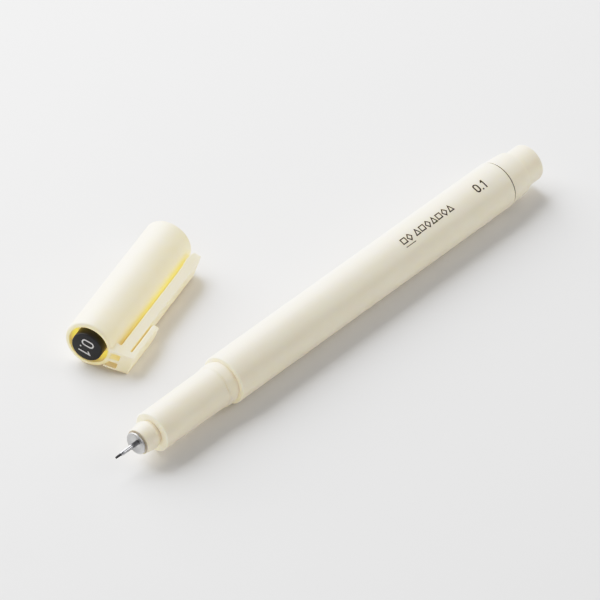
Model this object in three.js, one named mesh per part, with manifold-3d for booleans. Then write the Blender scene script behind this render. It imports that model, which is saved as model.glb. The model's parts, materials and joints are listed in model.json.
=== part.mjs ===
// Fine-line felt tip marker with its cap off. The pen lies along +X with its nib towards -X.
// The cap lies beside it, turned a little, on its shell and on the outer corner of its clip.
// Millimetres, +Z up, resting on Z = 0, with the origin under the middle of the whole box.
//
// Stations on the pen are measured along its axis from the nib's point. Stations on the cap
// are measured along the cap's axis from the rim of its closed end towards its mouth.

import * as THREE from 'three';
import { mergeVertices } from 'three/addons/utils/BufferGeometryUtils.js';
import Module from 'manifold-3d';

const wasm = await Module();
wasm.setup();

// ---------------------------------------------------------------- driving dimensions

const FINE = 48;                     // sides of the large round pieces
const MEDIUM = 32;                   // sides of the nose, inner cap, plug and reservoir
const COARSE = 16;                   // sides of the nib, needle and wick
const ROUND_STEPS = 3;               // segments in a rounded edge
const FIT_GAP = 0.1;                 // between pressed or glued pieces
const BREAK_GAP = 0.3;               // between the clip's arm, its root and the shell

const BODY_RADIUS = 5.5;             // barrel and cap shell
const AXIS_HEIGHT = BODY_RADIUS * Math.cos(Math.PI / FINE);

// Pen stations
const NIB_BARE = 1.9;                // nib that stands out of the needle
const DISC_FRONT = 5.9;
const NOSE_FRONT = 6.6;
const SECTION_FRONT = 10.7;
const COLLAR_FRONT = 29.4;
const COLLAR_BACK = 31.9;
const BARREL_FRONT = 32.4;
const BARREL_BACK = 119.5;
const TAIL_STEP = 125.0;
const TAIL_END = 130.4;

// Tip
const NIB_POINT_RADIUS = 0.2;
const NIB_RADIUS = 0.28;
const NIB_BACK = 15.6;
const NEEDLE_RADIUS = 0.52;
const NEEDLE_BORE = 0.36;
const NEEDLE_BACK = 11.0;
const DISC_RADIUS = 2.5;
const DISC_SHEET = 0.25;
const DISH_DEPTH = 0.73;
const DISH_RINGS = 6;
const DISC_NECK = 1.9;
const HOLDER_SHANK = 1.5;
const HOLDER_BACK = 12.0;

// Nose and front section
const NOSE_FRONT_RADIUS = 2.85;
const NOSE_RADIUS = 3.25;
const NOSE_GROOVE_RADIUS = 3.02;
const NOSE_GROOVE_WIDTH = 0.8;
const NOSE_BACK = 24.0;
const SECTION_FRONT_RADIUS = 4.45;
const SECTION_BACK_RADIUS = 4.58;
const SECTION_BORE = 3.4;
const COLLAR_RADIUS = 4.8;
const COLLAR_RAMP = 0.25;
const RIM_GROOVE_RADIUS = 4.45;
const SPIGOT_RADIUS = 4.35;
const SPIGOT_BACK = 43.0;

// Barrel and tail
const BARREL_BORE = 4.5;
const TAIL_CONE_RADIUS = 5.4;
const TAIL_STEP_RADIUS = 5.0;
const TAIL_POST_RADIUS = 4.32;
const TAIL_END_ROUND = 0.55;
const TAIL_SPIGOT_FRONT = 113.0;
const TAIL_BORE = 3.3;
const TAIL_BORE_BACK = 127.0;

// Ink system
const WICK_RADIUS = 1.1;
const WICK_FRONT = 15.7;
const WICK_BACK = 52.0;
const RESERVOIR_RADIUS = 3.95;
const RESERVOIR_FRONT = 45.0;
const RESERVOIR_BACK = 112.5;
const FILM_THICKNESS = 0.12;

// Cap
const CAP_LENGTH = 37.7;
const CAP_BORE = 4.95;
const END_LIP_RADIUS = 4.45;         // a narrower lip at the closed end
const END_LIP_BACK = 1.2;
const END_LIP_ROUND = 0.5;
const CAP_YAW = THREE.MathUtils.degToRad(16.45);
const CAP_REACH = 22.4;              // closed end's rim from the nib's point, along the pen
const CAP_ASIDE = 28.7;              // closed end's rim from the pen's axis, sideways
const PLUG_RADIUS = 3.45;
const PLUG_PROUD = 0.9;              // the plug stands out of the closed end
const PLUG_PIN_RADIUS = 2.0;
const PLUG_PIN_BACK = 3.8;
const INNER_CAP_RADIUS = 3.85;
const INNER_CAP_FRONT = 2.6;
const INNER_CAP_BACK = 15.4;
const TIP_CHAMBER_RADIUS = 2.6;
const TIP_CHAMBER_FRONT = 4.7;
const SEAL_RADIUS = 3.38;            // closes on the nose
const SEAL_FRONT = 11.0;
const FIN_COUNT = 4;
const FIN_THICKNESS = 0.8;
const FIN_REACH = 4.8;
const FIN_FRONT = 3.4;
const FIN_BACK = 12.4;

// Clip: distances are from the cap's axis
const CLIP_WIDTH = 5.0;
const ARM_INSIDE = 6.3;
const ARM_OUTSIDE = 8.3;
const ARM_FRONT = 5.3;
const ARM_TIP = 37.3;
const ARM_TIP_ROUND = 1.5;
const FOOT_FRONT = 30.4;
const FOOT_BACK = 35.6;
const FOOT_DEPTH = 0.5;
const TAB_INSIDE = 8.75;
const TAB_OUTSIDE = 9.9;
const TAB_TIP = 14.0;
const TAB_TIP_ROUND = 2.4;
const SLIT_FRONT = 2.2;
const ROOT_FRONT_INSIDE = -0.7;      // the root's end face leans back towards its outer edge
const ROOT_FRONT_OUTSIDE = 0.7;
const POCKET_WIDTH = 1.6;            // two pockets in the end face, with a web between them
const POCKET_WEB = 0.8;
const POCKET_OUTSIDE = 7.3;
const POCKET_BACK = 3.2;

// The cap rolls until the clip's outer corner meets the surface that the shell lies on.
const CORNER_CLEARANCE = 0.02;
const CORNER_DISTANCE = Math.hypot(TAB_OUTSIDE, CLIP_WIDTH / 2);
const CLIP_ROLL = Math.asin((AXIS_HEIGHT - CORNER_CLEARANCE) / CORNER_DISTANCE)
  - Math.atan(CLIP_WIDTH / 2 / TAB_OUTSIDE);

// ---------------------------------------------------------------- materials

function plastic(color, roughness) {
  return new THREE.MeshStandardMaterial({ color, roughness, metalness: 0 });
}

const cream = plastic(0xf2eddc, 0.45);
const black = plastic(0x1c1c20, 0.4);
const nibBlack = plastic(0x26262a, 0.6);
const white = plastic(0xf5f4ee, 0.5);
const inkFibre = plastic(0x2a2a33, 0.9);
const clearFilm = plastic(0xd9dde0, 0.25);
const steel = new THREE.MeshStandardMaterial({ color: 0xc4c5c8, roughness: 0.25, metalness: 1 });

// ---------------------------------------------------------------- shapes

// Points on the quarter of an ellipse from one point to another, about a centre.
function quarterRound(from, to, centre) {
  const points = [];
  for (let step = 0; step <= ROUND_STEPS; step++) {
    const angle = (step / ROUND_STEPS) * (Math.PI / 2);
    const place = (axis) => centre[axis]
      + (from[axis] - centre[axis]) * Math.cos(angle)
      + (to[axis] - centre[axis]) * Math.sin(angle);
    points.push([place(0), place(1)]);
  }
  return points;
}

function roundedFront(station, radius, round) {
  const centre = [station + round, radius - round];
  return quarterRound([station, radius - round], [station + round, radius], centre);
}

function roundedBack(station, radius, round) {
  const centre = [station - round, radius - round];
  return quarterRound([station - round, radius], [station, radius - round], centre);
}

// A solid of revolution about +X with a flat side facing straight down. Its outline is a list
// of [station, radius] points: along the outside from front to back, then along the bore from
// back to front. A piece that is closed in front starts on the axis instead.
function turned(outline, sides) {
  const points = outline.map(([station, radius]) => new THREE.Vector2(radius, station));
  if (points[0].x > 0) points.push(points[0].clone());
  const geometry = new THREE.LatheGeometry(points, sides, Math.PI / sides);
  geometry.rotateZ(-Math.PI / 2);
  return geometry;
}

// A flat outline of [x, y] points, thickened evenly to both sides of z = 0.
function slab(outline, thickness) {
  const shape = new THREE.Shape(outline.map(([x, y]) => new THREE.Vector2(x, y)));
  const geometry = new THREE.ExtrudeGeometry(shape, { depth: thickness, bevelEnabled: false });
  geometry.translate(0, 0, -thickness / 2);
  return geometry;
}

// A box from its lowest corner to its highest.
function block(low, high) {
  const size = high.map((value, axis) => value - low[axis]);
  const middle = high.map((value, axis) => (value + low[axis]) / 2);
  return new THREE.BoxGeometry(...size).translate(...middle);
}

// The closed solid of a geometry, for joining and cutting.
function solidOf(geometry) {
  geometry.deleteAttribute('normal');
  geometry.deleteAttribute('uv');
  const merged = mergeVertices(geometry, 1e-5);
  const corners = merged.index.array;
  const triangles = [];
  for (let first = 0; first < corners.length; first += 3) {
    const [a, b, c] = corners.slice(first, first + 3);
    if (a !== b && b !== c && c !== a) triangles.push(a, b, c);
  }
  return new wasm.Manifold(new wasm.Mesh({
    numProp: 3,
    vertProperties: new Float32Array(merged.attributes.position.array),
    triVerts: new Uint32Array(triangles),
  }));
}

function geometryOf(solid) {
  const mesh = solid.getMesh();
  const geometry = new THREE.BufferGeometry();
  geometry.setAttribute('position', new THREE.BufferAttribute(mesh.vertProperties, 3));
  geometry.setIndex(new THREE.BufferAttribute(mesh.triVerts, 1));
  geometry.computeVertexNormals();
  return geometry;
}

// ---------------------------------------------------------------- pen pieces

function nib() {
  return turned([
    [0, 0],
    ...roundedFront(0, NIB_POINT_RADIUS, 0.1),
    [NIB_BARE - 0.2, NIB_RADIUS],
    [NIB_BACK, NIB_RADIUS],
    [NIB_BACK, 0],
  ], COARSE);
}

function needleTube() {
  return turned([
    ...roundedFront(NIB_BARE, NEEDLE_RADIUS, 0.1),
    [NEEDLE_BACK, NEEDLE_RADIUS],
    [NEEDLE_BACK, NEEDLE_BORE],
    [NIB_BARE, NEEDLE_BORE],
  ], COARSE);
}

// The bright disc is a shallow sheet dish that faces the nib. A neck and a shank carry it.
function tipHolder() {
  const bore = NEEDLE_RADIUS + FIT_GAP / 2;
  const rim = DISC_RADIUS - 0.08;
  const shoulder = NOSE_FRONT + DISC_SHEET;
  const dishStation = (radius) => DISC_FRONT + DISH_DEPTH * (1 - (radius / rim) ** 2);
  const dish = [];
  for (let ring = 0; ring <= DISH_RINGS; ring++) {
    const radius = bore + (rim - bore) * (ring / DISH_RINGS);
    dish.push([dishStation(radius), radius]);
  }
  return turned([
    ...dish,
    [DISC_FRONT + 0.08, DISC_RADIUS],
    [DISC_FRONT + DISC_SHEET, DISC_RADIUS],
    [dishStation(DISC_NECK) + DISC_SHEET, DISC_NECK],
    [shoulder, DISC_NECK],
    [shoulder, HOLDER_SHANK],
    [HOLDER_BACK, HOLDER_SHANK],
    [HOLDER_BACK, bore],
  ], MEDIUM);
}

// The nose holds the steel tip in front and the wick behind. The inner cap closes on it.
function nosePiece() {
  const grooveFront = SECTION_FRONT - NOSE_GROOVE_WIDTH;
  const tailRadius = SECTION_BORE - FIT_GAP;
  const neckSeat = NOSE_FRONT + DISC_SHEET + FIT_GAP;
  const shankSeat = HOLDER_BACK + FIT_GAP;
  return turned([
    ...roundedFront(NOSE_FRONT, NOSE_FRONT_RADIUS, 0.2),
    [grooveFront, NOSE_RADIUS],
    [grooveFront + 0.15, NOSE_GROOVE_RADIUS],
    [SECTION_FRONT + 0.3, NOSE_GROOVE_RADIUS],
    [SECTION_FRONT + 0.5, tailRadius],
    [NOSE_BACK, tailRadius],
    [NOSE_BACK, WICK_RADIUS + FIT_GAP],
    [shankSeat, WICK_RADIUS + FIT_GAP],
    [shankSeat, HOLDER_SHANK + FIT_GAP],
    [neckSeat, HOLDER_SHANK + FIT_GAP],
    [neckSeat, DISC_NECK + FIT_GAP],
    [NOSE_FRONT, DISC_NECK + FIT_GAP],
  ], MEDIUM);
}

// Grip sleeve, with a low collar that the cap snaps over and a spigot in the barrel.
function frontSection() {
  return turned([
    ...roundedFront(SECTION_FRONT, SECTION_FRONT_RADIUS, 0.4),
    [COLLAR_FRONT, SECTION_BACK_RADIUS],
    [COLLAR_FRONT + COLLAR_RAMP, COLLAR_RADIUS],
    [COLLAR_BACK - COLLAR_RAMP, COLLAR_RADIUS],
    [COLLAR_BACK, RIM_GROOVE_RADIUS],
    [BARREL_FRONT, RIM_GROOVE_RADIUS],
    [BARREL_FRONT, SPIGOT_RADIUS],
    ...roundedBack(SPIGOT_BACK, SPIGOT_RADIUS, 0.3),
    [SPIGOT_BACK, SECTION_BORE],
    [SECTION_FRONT, SECTION_BORE],
  ], FINE);
}

function barrel() {
  return turned([
    ...roundedFront(BARREL_FRONT + FIT_GAP, BODY_RADIUS, 0.3),
    ...roundedBack(BARREL_BACK - FIT_GAP, BODY_RADIUS, 0.4),
    [BARREL_BACK - FIT_GAP, BARREL_BORE],
    [BARREL_FRONT + FIT_GAP, BARREL_BORE],
  ], FINE);
}

// Plug in the barrel's back end: a cone, a step and a post outside, hollow from the front.
function tailPlug() {
  return turned([
    [TAIL_BORE_BACK, 0],
    [TAIL_BORE_BACK, TAIL_BORE],
    [TAIL_SPIGOT_FRONT, TAIL_BORE],
    [TAIL_SPIGOT_FRONT, BARREL_BORE - FIT_GAP],
    [BARREL_BACK, BARREL_BORE - FIT_GAP],
    ...roundedFront(BARREL_BACK, TAIL_CONE_RADIUS, 0.15),
    ...roundedBack(TAIL_STEP, TAIL_STEP_RADIUS, 0.15),
    [TAIL_STEP, TAIL_POST_RADIUS],
    ...roundedBack(TAIL_END, TAIL_POST_RADIUS, TAIL_END_ROUND),
    [TAIL_END, 0],
  ], FINE);
}

function feedWick() {
  return turned([
    [WICK_FRONT, 0],
    [WICK_FRONT, WICK_RADIUS],
    [WICK_BACK, WICK_RADIUS],
    [WICK_BACK, 0],
  ], COARSE);
}

// Bonded fibre rod with a blind hole that the wick's end stands in.
function inkReservoir() {
  const hole = WICK_RADIUS + FIT_GAP;
  return turned([
    [WICK_BACK + FIT_GAP, 0],
    [WICK_BACK + FIT_GAP, hole],
    [RESERVOIR_FRONT, hole],
    [RESERVOIR_FRONT, RESERVOIR_RADIUS],
    [RESERVOIR_BACK, RESERVOIR_RADIUS],
    [RESERVOIR_BACK, 0],
  ], MEDIUM);
}

function reservoirFilm() {
  const inside = RESERVOIR_RADIUS + FIT_GAP;
  const outside = inside + FILM_THICKNESS;
  return turned([
    [RESERVOIR_FRONT, outside],
    [RESERVOIR_BACK, outside],
    [RESERVOIR_BACK, inside],
    [RESERVOIR_FRONT, inside],
  ], MEDIUM);
}

// ---------------------------------------------------------------- cap pieces

// Tube, open at both ends, with a lip inside its closed end and a bore that widens at its mouth.
function capShell() {
  const wall = BODY_RADIUS - CAP_BORE;
  const lip = CAP_BORE + wall / 2;
  return turned([
    ...roundedFront(0, BODY_RADIUS, END_LIP_ROUND),
    ...roundedBack(CAP_LENGTH, BODY_RADIUS, wall / 2),
    [CAP_LENGTH, lip],
    [CAP_LENGTH - wall, CAP_BORE],
    [END_LIP_BACK + wall, CAP_BORE],
    [END_LIP_BACK, END_LIP_RADIUS],
    [0, END_LIP_RADIUS],
  ], FINE);
}

// The cup that seals the tip. Its fins hold it in the shell and leave air ways between them.
function innerCap() {
  let solid = solidOf(turned([
    [PLUG_PIN_BACK + FIT_GAP, 0],
    [PLUG_PIN_BACK + FIT_GAP, PLUG_PIN_RADIUS + FIT_GAP],
    [INNER_CAP_FRONT, PLUG_PIN_RADIUS + FIT_GAP],
    [INNER_CAP_FRONT, INNER_CAP_RADIUS],
    [INNER_CAP_BACK, INNER_CAP_RADIUS],
    [INNER_CAP_BACK, SEAL_RADIUS],
    [SEAL_FRONT, SEAL_RADIUS],
    [SEAL_FRONT, TIP_CHAMBER_RADIUS],
    [TIP_CHAMBER_FRONT, TIP_CHAMBER_RADIUS],
    [TIP_CHAMBER_FRONT, 0],
  ], MEDIUM));
  const finRoot = (INNER_CAP_RADIUS + SEAL_RADIUS) / 2;
  for (let index = 0; index < FIN_COUNT; index++) {
    const fin = block(
      [FIN_FRONT, finRoot, -FIN_THICKNESS / 2],
      [FIN_BACK, FIN_REACH, FIN_THICKNESS / 2],
    );
    fin.rotateX(Math.PI / FIN_COUNT + (index / FIN_COUNT) * 2 * Math.PI);
    solid = solid.add(solidOf(fin));
  }
  return geometryOf(solid);
}

// The coloured plug that shows the line width, with a pin in the inner cap's end.
function endPlug() {
  const headBack = INNER_CAP_FRONT - FIT_GAP;
  return turned([
    [-PLUG_PROUD, 0],
    ...roundedFront(-PLUG_PROUD, PLUG_RADIUS, 0.25),
    [headBack, PLUG_RADIUS],
    [headBack, PLUG_PIN_RADIUS],
    [PLUG_PIN_BACK, PLUG_PIN_RADIUS],
    [PLUG_PIN_BACK, 0],
  ], MEDIUM);
}

// ---------------------------------------------------------------- clip pieces
// In the clip's own frame X runs along the cap, Y away from its axis and Z across the clip.

// A plan outline as wide as the clip, with rounded corners at its back end.
function clipPlan(back, round) {
  const half = CLIP_WIDTH / 2;
  const corner = quarterRound([back - round, half], [back, half - round],
    [back - round, half - round]);
  const mirrored = corner.map(([x, z]) => [x, -z]);
  const plan = slab([[-1, -half], ...mirrored, ...corner.reverse(), [-1, half]], 4 * BODY_RADIUS);
  return solidOf(plan.rotateX(Math.PI / 2));
}

// The post on the shell and the short tab that covers the start of the arm.
function clipRoot() {
  const base = ARM_INSIDE - 2 * BREAK_GAP - 1;
  const back = ARM_FRONT - BREAK_GAP;
  const tabCorner = quarterRound([TAB_TIP, TAB_INSIDE + 0.6], [TAB_TIP - 0.6, TAB_INSIDE],
    [TAB_TIP - 0.6, TAB_INSIDE + 0.6]);
  const side = solidOf(slab([
    [ROOT_FRONT_INSIDE, base],
    [back, base],
    [back, ARM_OUTSIDE],
    [SLIT_FRONT, ARM_OUTSIDE],
    [SLIT_FRONT, TAB_INSIDE],
    ...tabCorner.reverse(),
    [TAB_TIP, TAB_OUTSIDE - 0.2],
    [TAB_TIP - 0.2, TAB_OUTSIDE],
    [ROOT_FRONT_OUTSIDE, TAB_OUTSIDE],
  ], CLIP_WIDTH + 1));
  const shell = solidOf(turned([
    [-1, 0],
    [-1, BODY_RADIUS + BREAK_GAP],
    [back + 1, BODY_RADIUS + BREAK_GAP],
    [back + 1, 0],
  ], FINE));
  let root = side.intersect(clipPlan(TAB_TIP, TAB_TIP_ROUND)).subtract(shell);
  for (const sign of [-1, 1]) {
    const middle = sign * (POCKET_WEB + POCKET_WIDTH) / 2;
    const pocket = block(
      [-1, base, middle - POCKET_WIDTH / 2],
      [POCKET_BACK, POCKET_OUTSIDE, middle + POCKET_WIDTH / 2],
    );
    root = root.subtract(solidOf(pocket));
  }
  return geometryOf(root);
}

// The long springy arm. The foot under its tip rests on the shell.
function clipArm() {
  const foot = [];
  const footSteps = 6;
  for (let step = 0; step <= footSteps; step++) {
    const part = step / footSteps;
    foot.push([
      FOOT_FRONT + (FOOT_BACK - FOOT_FRONT) * part,
      ARM_INSIDE - FOOT_DEPTH * Math.sin(Math.PI * part),
    ]);
  }
  const side = solidOf(slab([
    [ARM_FRONT, ARM_INSIDE],
    ...foot,
    [ARM_TIP, ARM_INSIDE + 0.4],
    ...quarterRound([ARM_TIP, ARM_OUTSIDE - 0.8], [ARM_TIP - 2.4, ARM_OUTSIDE],
      [ARM_TIP - 2.4, ARM_OUTSIDE - 0.8]),
    [ARM_FRONT, ARM_OUTSIDE],
  ], CLIP_WIDTH + 1));
  return geometryOf(side.intersect(clipPlan(ARM_TIP, ARM_TIP_ROUND)));
}

// ---------------------------------------------------------------- assembly

function addPiece(group, name, geometry, material) {
  const mesh = new THREE.Mesh(geometry, material);
  mesh.name = name;
  group.add(mesh);
}

const pen = new THREE.Group();
pen.position.z = AXIS_HEIGHT;
addPiece(pen, 'nib', nib(), nibBlack);
addPiece(pen, 'needle_tube', needleTube(), steel);
addPiece(pen, 'tip_holder', tipHolder(), steel);
addPiece(pen, 'nose_piece', nosePiece(), cream);
addPiece(pen, 'front_section', frontSection(), cream);
addPiece(pen, 'barrel', barrel(), cream);
addPiece(pen, 'tail_plug', tailPlug(), cream);
addPiece(pen, 'feed_wick', feedWick(), inkFibre);
addPiece(pen, 'ink_reservoir', inkReservoir(), inkFibre);
addPiece(pen, 'reservoir_film', reservoirFilm(), clearFilm);

const clip = new THREE.Group();
clip.rotation.x = Math.PI + CLIP_ROLL;
addPiece(clip, 'clip_root', clipRoot(), cream);
addPiece(clip, 'clip_arm', clipArm(), cream);

const cap = new THREE.Group();
cap.position.set(CAP_REACH, CAP_ASIDE, AXIS_HEIGHT);
cap.rotation.z = CAP_YAW;
addPiece(cap, 'cap_shell', capShell(), cream);
addPiece(cap, 'inner_cap', innerCap(), white);
addPiece(cap, 'end_plug', endPlug(), black);
cap.add(clip);

const marker = new THREE.Group();
marker.add(pen, cap);
const box = new THREE.Box3().setFromObject(marker, true);
const middle = box.getCenter(new THREE.Vector3());
marker.position.set(-middle.x, -middle.y, -box.min.z);

export default marker;
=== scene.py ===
import json
import math

import bmesh
import bpy
from mathutils import Matrix, Vector
from mathutils.geometry import delaunay_2d_cdt


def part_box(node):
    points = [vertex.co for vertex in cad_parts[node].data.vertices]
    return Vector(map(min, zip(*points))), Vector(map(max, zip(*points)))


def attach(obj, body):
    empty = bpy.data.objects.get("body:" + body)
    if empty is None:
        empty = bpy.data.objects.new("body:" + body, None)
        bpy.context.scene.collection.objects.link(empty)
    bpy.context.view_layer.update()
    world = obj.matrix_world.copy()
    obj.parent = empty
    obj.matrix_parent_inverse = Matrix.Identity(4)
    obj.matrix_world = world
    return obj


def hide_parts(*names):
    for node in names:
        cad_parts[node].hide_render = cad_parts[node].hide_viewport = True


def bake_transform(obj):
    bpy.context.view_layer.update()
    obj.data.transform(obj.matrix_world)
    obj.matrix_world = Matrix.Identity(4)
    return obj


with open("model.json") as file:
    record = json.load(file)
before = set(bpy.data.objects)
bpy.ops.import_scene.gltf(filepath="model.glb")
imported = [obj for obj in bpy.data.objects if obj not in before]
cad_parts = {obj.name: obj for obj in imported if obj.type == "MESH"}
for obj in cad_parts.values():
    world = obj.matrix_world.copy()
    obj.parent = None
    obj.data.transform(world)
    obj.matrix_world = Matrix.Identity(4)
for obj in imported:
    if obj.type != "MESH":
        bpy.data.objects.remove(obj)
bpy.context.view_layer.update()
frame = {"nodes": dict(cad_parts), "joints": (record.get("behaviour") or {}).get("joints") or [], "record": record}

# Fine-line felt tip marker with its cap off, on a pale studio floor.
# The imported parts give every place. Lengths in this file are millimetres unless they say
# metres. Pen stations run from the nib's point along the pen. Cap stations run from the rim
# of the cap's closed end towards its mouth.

MM = 0.001

# ---------------------------------------------------------------- driving dimensions

SIDES = 144                 # around the large round pieces
SMALL_SIDES = 64            # around the needle and the nib
ARC_STEPS = 5               # segments in a rounded edge
SMOOTH_ANGLE = math.radians(32)
SAME_POINT = 1e-5           # points closer than this are one point
NEAR = 0.01                 # points closer than this to a face count as on it

BODY_RADIUS = 5.488         # barrel and cap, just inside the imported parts' facets

BARREL_FRONT = 32.5
BARREL_BACK = 119.4
BARREL_BORE = 4.5
TAIL_FRONT = 119.7
TAIL_CONE_RADIUS = 5.38
TAIL_STEP = 125.0
TAIL_END = 130.4
SECTION_FRONT = 10.7
SECTION_BORE = 3.4
SPIGOT_BACK = 43.0
COLLAR_FRONT = 29.4
COLLAR_BACK = 31.9
NOTCH_ANGLE = math.radians(29)  # up the side of the pen, from its widest line
NOTCH_BOTTOM = 4.4          # from the pen's axis
NOTCH_HALF_WIDTH = 1.3
NOSE_FRONT = 6.6
NOSE_BACK = 24.0
NOSE_WAIST = 2.7            # the nose is narrower where the grip section closes on it
WICK_SEAT = 1.2
HOLDER_BACK = 12.0
HOLDER_SHANK = 1.5
NIB_BARE = 1.45
NIB_BACK = 15.6
NIB_RADIUS = 0.28
NEEDLE_BACK = 11.0
NEEDLE_RADIUS = 0.52
NEEDLE_BORE = 0.36
NEEDLE_MOUTH = 0.3          # the tube is drawn in round the nib
NEEDLE_DARK_START = 4.4     # the needle's painted shade sets in between these two stations
NEEDLE_DARK_END = 5.3
DISC_FRONT = 5.9
DISC_RADIUS = 2.5
DISC_SHEET = 0.25
DISH_DEPTH = 0.73

CAP_LENGTH = 37.7
CAP_BORE = 4.95
END_LIP_RADIUS = 4.47       # a narrower lip at the cap's closed end
END_LIP_BACK = 1.2
PLUG_RADIUS = 3.45
PLUG_PROUD = 0.9
PEG_RADIUS = 2.0            # the peg behind the plug's disc
PEG_BACK = 3.8
LINER_FRONT = 2.6
LINER_BACK = 15.4
LINER_RADIUS = 3.85
FIN_COUNT = 4

CLIP_WIDTH = 5.0
ARM_INSIDE = 6.1            # clip distances are from the cap's axis
ARM_OUTSIDE = 8.3
ARM_FRONT = 2.4             # the root's post ends here
ARM_TIP = 37.3
ARM_TIP_ROUND = 1.5
FOOT_FRONT = 30.4
FOOT_BACK = 35.6
FOOT_DEPTH = 0.3
TAB_INSIDE = 8.75
TAB_OUTSIDE = 9.88
TAB_TIP = 13.4
TAB_TIP_ROUND = 2.4
SLIT_FRONT = 2.2
ROOT_INSIDE = 5.2           # the root's foot is sunk into the tube's wall
ROOT_FRONT = -0.68
ROOT_LEAN = 1.4             # the root's end face leans back by this at its outer edge
POCKET_MIDDLE = 1.2
POCKET_WIDTH = 1.6
POCKET_OUTSIDE = 7.3
POCKET_BACK = 3.2
CLIP_EDGE = 0.17            # rounding along the clip's edges
CLIP_SPACING = 0.35         # between points of its side view

# ---------------------------------------------------------------- places

record = frame["record"]
plug_face = next(mount for mount in record["mounts"] if mount["name"] == "plug_face")
flex = next(joint for joint in frame["joints"] if joint["name"] == "clip_flex")


def placed(origin, x_axis, y_axis, z_axis):
    """The matrix from a local frame in millimetres to the row frame in metres."""
    columns = Matrix((x_axis, y_axis, z_axis)).transposed().to_4x4()
    return Matrix.Translation(origin) @ columns @ Matrix.Scale(MM, 4)


barrel_low, barrel_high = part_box("barrel")
barrel_middle = (barrel_low + barrel_high) / 2
nib_point = Vector((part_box("nib")[0].x, barrel_middle.y, barrel_middle.z))
PEN = placed(nib_point, Vector((1, 0, 0)), Vector((0, 1, 0)), Vector((0, 0, 1)))

cap_along = -Vector(plug_face["axis"]).normalized()
cap_rim = Vector(plug_face["pos_m"]) + cap_along * PLUG_PROUD * MM
cap_up = Vector((0, 0, 1))
CAP = placed(cap_rim, cap_along, cap_up.cross(cap_along), cap_up)

clip_across = Vector(flex["axis"]).normalized()
clip_out = clip_across.cross(cap_along)
CLIP = placed(cap_rim, cap_along, clip_out, clip_across)
# The clip's way round the cap's axis, in the cap's own frame.
CLIP_TURN = math.atan2(clip_out.dot(cap_up), clip_out.dot(cap_up.cross(cap_along)))

# ---------------------------------------------------------------- outlines


def arc_corner(before, corner, after, radius):
    """Points of the arc that rounds one corner of a 2-D outline."""
    to_before = (before - corner).normalized()
    to_after = (after - corner).normalized()
    half_angle = to_before.angle(to_after) / 2
    nearly_straight = half_angle > math.radians(89)
    if nearly_straight:
        return [corner]
    reach = radius / math.tan(half_angle)
    middle = corner + (to_before + to_after).normalized() * radius / math.sin(half_angle)
    start = corner + to_before * reach - middle
    end = corner + to_after * reach - middle
    turn = start.angle(end)
    points = []
    for step in range(ARC_STEPS + 1):
        share = step / ARC_STEPS
        weight_start = math.sin((1 - share) * turn) / math.sin(turn)
        weight_end = math.sin(share * turn) / math.sin(turn)
        points.append(middle + start * weight_start + end * weight_end)
    return points


def rounded(corners, closed):
    """An outline of (x, y) or (x, y, rounding radius) corners, with the corners rounded."""
    flat = [Vector(corner[:2]) for corner in corners]
    points = []
    for index, corner in enumerate(corners):
        radius = corner[2] if len(corner) == 3 else 0
        at_end = not closed and index in (0, len(corners) - 1)
        if at_end or radius == 0:
            points.append(flat[index])
        else:
            after = flat[(index + 1) % len(flat)]
            points += arc_corner(flat[index - 1], flat[index], after, radius)
    return points


def densified(points, spacing, closed):
    """An outline or an open line with no side longer than the spacing."""
    ends = points[1:] + points[:1] if closed else points[1:]
    dense = []
    for point, end in zip(points, ends):
        count = max(1, math.ceil((end - point).length / spacing))
        dense += [point.lerp(end, step / count) for step in range(count)]
    return dense if closed else [*dense, points[-1]]


# ---------------------------------------------------------------- meshes


def mesh_object(name, vertices, faces):
    """A closed mesh in a local frame, in millimetres."""
    mesh = bpy.data.meshes.new(name)
    mesh.from_pydata(vertices, [], faces)
    made = bmesh.new()
    made.from_mesh(mesh)
    bmesh.ops.remove_doubles(made, verts=made.verts, dist=SAME_POINT)
    bmesh.ops.recalc_face_normals(made, faces=made.faces)
    made.to_mesh(mesh)
    made.free()
    shade(mesh)
    piece = bpy.data.objects.new(name, mesh)
    bpy.context.scene.collection.objects.link(piece)
    return piece


def shade(mesh):
    """Smooth shading that keeps the edges sharper than SMOOTH_ANGLE."""
    mesh.shade_smooth()
    mesh.set_sharp_from_angle(angle=SMOOTH_ANGLE)


def turned(name, corners, sides=SIDES, hollow=True):
    """A solid of revolution about the local X axis.

    Its corners are (station, radius) or (station, radius, rounding). A hollow piece's outline
    is closed. Any other starts and ends on the axis.
    """
    outline = rounded(corners, closed=hollow)
    vertices = []
    rings = []
    for station, radius in outline:
        if radius < SAME_POINT:
            rings.append([len(vertices)])
            vertices.append((station, 0, 0))
            continue
        rings.append(list(range(len(vertices), len(vertices) + sides)))
        for side in range(sides):
            angle = 2 * math.pi * (side + 0.5) / sides
            vertices.append((station, radius * math.sin(angle), -radius * math.cos(angle)))
    faces = []
    pairs = list(zip(rings, rings[1:]))
    if hollow:
        pairs.append((rings[-1], rings[0]))
    for first, second in pairs:
        for side in range(sides):
            after = (side + 1) % sides
            if len(first) == 1:
                faces.append((first[0], second[side], second[after]))
            elif len(second) == 1:
                faces.append((first[side], second[0], first[after]))
            else:
                faces.append((first[side], second[side], second[after], first[after]))
    return mesh_object(name, vertices, faces)


def combined(piece, other, operation):
    """Joins another solid to a piece, or cuts it away, and removes the other solid."""
    modifier = piece.modifiers.new("combined", "BOOLEAN")
    modifier.operation = operation
    modifier.solver = "EXACT"
    modifier.object = other
    bpy.context.view_layer.update()
    evaluated = piece.evaluated_get(bpy.context.evaluated_depsgraph_get())
    mesh = bpy.data.meshes.new_from_object(evaluated)
    piece.modifiers.clear()
    piece.data = mesh
    bpy.data.objects.remove(other)
    shade(mesh)


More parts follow.
